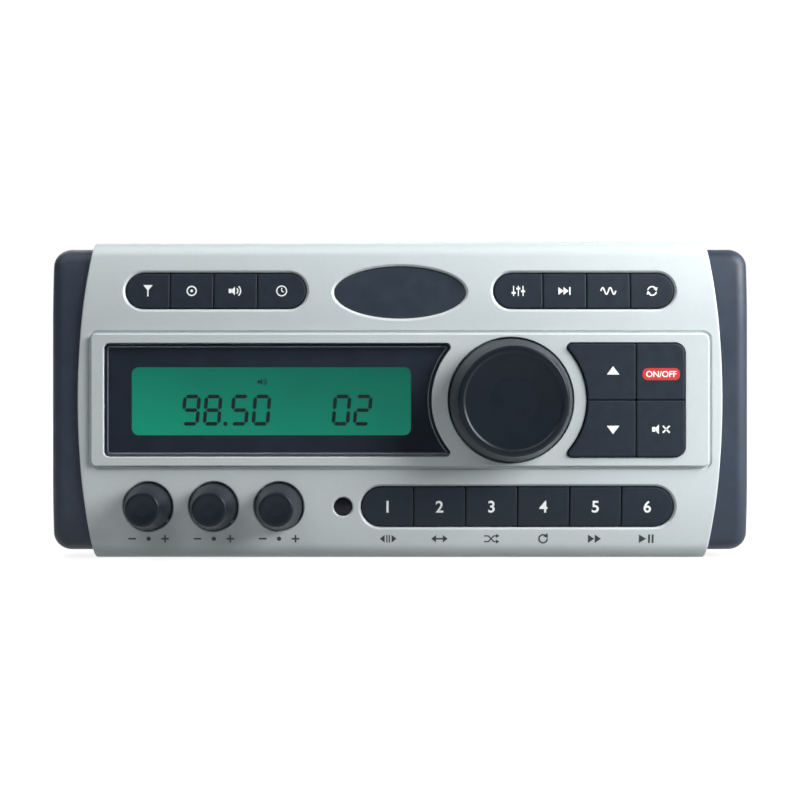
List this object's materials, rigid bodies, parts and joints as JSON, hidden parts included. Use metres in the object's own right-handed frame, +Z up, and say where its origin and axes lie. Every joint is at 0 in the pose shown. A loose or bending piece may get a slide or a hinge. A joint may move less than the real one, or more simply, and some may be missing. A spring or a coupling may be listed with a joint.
{
  "type": "marine stereo",
  "caption": "Flush-mount marine radio receiver: a silver moulded head with a display window, rubber keys and rotary knobs on a sheet-metal chassis for behind the dash.",
  "frame": {"origin": "middle of the four mounting screws, on the face of the dash that the gasket rests on", "axes": "+X to the right as seen from the front, +Y back into the dash, +Z up"},
  "size_m": [0.217, 0.1763, 0.099],
  "materials": {
    "silver_paint": "satin silver paint on moulded plastic",
    "cap_plastic": "fine-grained moulded plastic",
    "lens": "polished clear acrylic",
    "mask_film": "black printed film",
    "lcd": "green-lit liquid crystal panel",
    "light_guide": "clear moulded plastic",
    "white_plastic": "white moulded plastic",
    "badge_plastic": "smooth dark plastic",
    "eye_plastic": "infrared-clear dark plastic",
    "black_plastic": "black moulded plastic",
    "plated_steel": "nickel-plated steel",
    "seal_rubber": "soft black rubber",
    "circuit_board": "green solder mask",
    "zinc_sheet": "zinc-plated sheet steel",
    "capacitor_sleeve": "shrink sleeve",
    "black_aluminium": "black anodised extrusion",
    "fuse_plastic": "clear orange plastic",
    "key_rubber": "matte moulded rubber",
    "knob_plastic": "soft-touch moulded plastic"
  },
  "bodies": {
    "receiver": {"fascia": "silver_paint", "left_end_cap": "cap_plastic", "right_end_cap": "cap_plastic", "display_lens": "lens", "display_mask": "mask_film", "lcd_panel": "lcd", "light_guide": "light_guide", "lcd_frame": "white_plastic", "badge_plate": "badge_plastic", "remote_eye": "eye_plastic", "remote_receiver": "black_plastic", "volume_encoder": "plated_steel", "tone_pots": "plated_steel", "shaft_seals": "seal_rubber", "key_switches": "black_plastic", "control_board": "circuit_board", "board_link": "white_plastic", "head_screws": "plated_steel", "head_back": "black_plastic", "dash_gasket": "seal_rubber", "chassis_tray": "zinc_sheet", "chassis_cover": "zinc_sheet", "chassis_screws": "plated_steel", "main_board": "circuit_board", "tuner_module": "plated_steel", "capacitors": "capacitor_sleeve", "amplifier_chip": "black_plastic", "heat_sink": "black_aluminium", "harness_socket": "white_plastic", "antenna_socket": "plated_steel", "line_out_sockets": "black_plastic", "fuse_holder": "black_plastic", "fuse": "fuse_plastic", "rear_stud": "plated_steel"},
    "function_key_1": {"function_key_1": "key_rubber"},
    "function_key_2": {"function_key_2": "key_rubber"},
    "function_key_3": {"function_key_3": "key_rubber"},
    "function_key_4": {"function_key_4": "key_rubber"},
    "function_key_5": {"function_key_5": "key_rubber"},
    "function_key_6": {"function_key_6": "key_rubber"},
    "function_key_7": {"function_key_7": "key_rubber"},
    "function_key_8": {"function_key_8": "key_rubber"},
    "preset_key_1": {"preset_key_1": "key_rubber"},
    "preset_key_2": {"preset_key_2": "key_rubber"},
    "preset_key_3": {"preset_key_3": "key_rubber"},
    "preset_key_4": {"preset_key_4": "key_rubber"},
    "preset_key_5": {"preset_key_5": "key_rubber"},
    "preset_key_6": {"preset_key_6": "key_rubber"},
    "up_key": {"up_key": "key_rubber"},
    "down_key": {"down_key": "key_rubber"},
    "power_key": {"power_key": "key_rubber"},
    "mute_key": {"mute_key": "key_rubber"},
    "volume": {"volume_knob": "knob_plastic", "volume_shaft": "plated_steel"},
    "fader": {"fader_knob": "knob_plastic", "fader_shaft": "plated_steel"},
    "treble": {"treble_knob": "knob_plastic", "treble_shaft": "plated_steel"},
    "bass": {"bass_knob": "knob_plastic", "bass_shaft": "plated_steel"}
  },
  "joints": [
    {"name": "function_key_1_press", "type": "slide", "parent": "receiver", "child": "function_key_1", "axis": [0, 1, 0], "range_m": [0, 0.0008], "stiffness_N_per_m": 600},
    {"name": "function_key_2_press", "type": "slide", "parent": "receiver", "child": "function_key_2", "axis": [0, 1, 0], "range_m": [0, 0.0008], "stiffness_N_per_m": 600},
    {"name": "function_key_3_press", "type": "slide", "parent": "receiver", "child": "function_key_3", "axis": [0, 1, 0], "range_m": [0, 0.0008], "stiffness_N_per_m": 600},
    {"name": "function_key_4_press", "type": "slide", "parent": "receiver", "child": "function_key_4", "axis": [0, 1, 0], "range_m": [0, 0.0008], "stiffness_N_per_m": 600},
    {"name": "function_key_5_press", "type": "slide", "parent": "receiver", "child": "function_key_5", "axis": [0, 1, 0], "range_m": [0, 0.0008], "stiffness_N_per_m": 600},
    {"name": "function_key_6_press", "type": "slide", "parent": "receiver", "child": "function_key_6", "axis": [0, 1, 0], "range_m": [0, 0.0008], "stiffness_N_per_m": 600},
    {"name": "function_key_7_press", "type": "slide", "parent": "receiver", "child": "function_key_7", "axis": [0, 1, 0], "range_m": [0, 0.0008], "stiffness_N_per_m": 600},
    {"name": "function_key_8_press", "type": "slide", "parent": "receiver", "child": "function_key_8", "axis": [0, 1, 0], "range_m": [0, 0.0008], "stiffness_N_per_m": 600},
    {"name": "preset_key_1_press", "type": "slide", "parent": "receiver", "child": "preset_key_1", "axis": [0, 1, 0], "range_m": [0, 0.0008], "stiffness_N_per_m": 600},
    {"name": "preset_key_2_press", "type": "slide", "parent": "receiver", "child": "preset_key_2", "axis": [0, 1, 0], "range_m": [0, 0.0008], "stiffness_N_per_m": 600},
    {"name": "preset_key_3_press", "type": "slide", "parent": "receiver", "child": "preset_key_3", "axis": [0, 1, 0], "range_m": [0, 0.0008], "stiffness_N_per_m": 600},
    {"name": "preset_key_4_press", "type": "slide", "parent": "receiver", "child": "preset_key_4", "axis": [0, 1, 0], "range_m": [0, 0.0008], "stiffness_N_per_m": 600},
    {"name": "preset_key_5_press", "type": "slide", "parent": "receiver", "child": "preset_key_5", "axis": [0, 1, 0], "range_m": [0, 0.0008], "stiffness_N_per_m": 600},
    {"name": "preset_key_6_press", "type": "slide", "parent": "receiver", "child": "preset_key_6", "axis": [0, 1, 0], "range_m": [0, 0.0008], "stiffness_N_per_m": 600},
    {"name": "up_key_press", "type": "slide", "parent": "receiver", "child": "up_key", "axis": [0, 1, 0], "range_m": [0, 0.0008], "stiffness_N_per_m": 600},
    {"name": "down_key_press", "type": "slide", "parent": "receiver", "child": "down_key", "axis": [0, 1, 0], "range_m": [0, 0.0008], "stiffness_N_per_m": 600},
    {"name": "power_key_press", "type": "slide", "parent": "receiver", "child": "power_key", "axis": [0, 1, 0], "range_m": [0, 0.0008], "stiffness_N_per_m": 600},
    {"name": "mute_key_press", "type": "slide", "parent": "receiver", "child": "mute_key", "axis": [0, 1, 0], "range_m": [0, 0.0008], "stiffness_N_per_m": 600},
    {"name": "volume_turn", "type": "hinge", "parent": "receiver", "child": "volume", "pos_m": [0.0343, -0.03, 0], "axis": [0, 1, 0], "continuous": true},
    {"name": "fader_turn", "type": "hinge", "parent": "receiver", "child": "fader", "pos_m": [-0.0782, -0.03, -0.03305], "axis": [0, 1, 0], "range_deg": [-140, 140]},
    {"name": "treble_turn", "type": "hinge", "parent": "receiver", "child": "treble", "pos_m": [-0.0579, -0.03, -0.03305], "axis": [0, 1, 0], "range_deg": [-140, 140]},
    {"name": "bass_turn", "type": "hinge", "parent": "receiver", "child": "bass", "pos_m": [-0.0376, -0.03, -0.03305], "axis": [0, 1, 0], "range_deg": [-140, 140]}
  ]
}
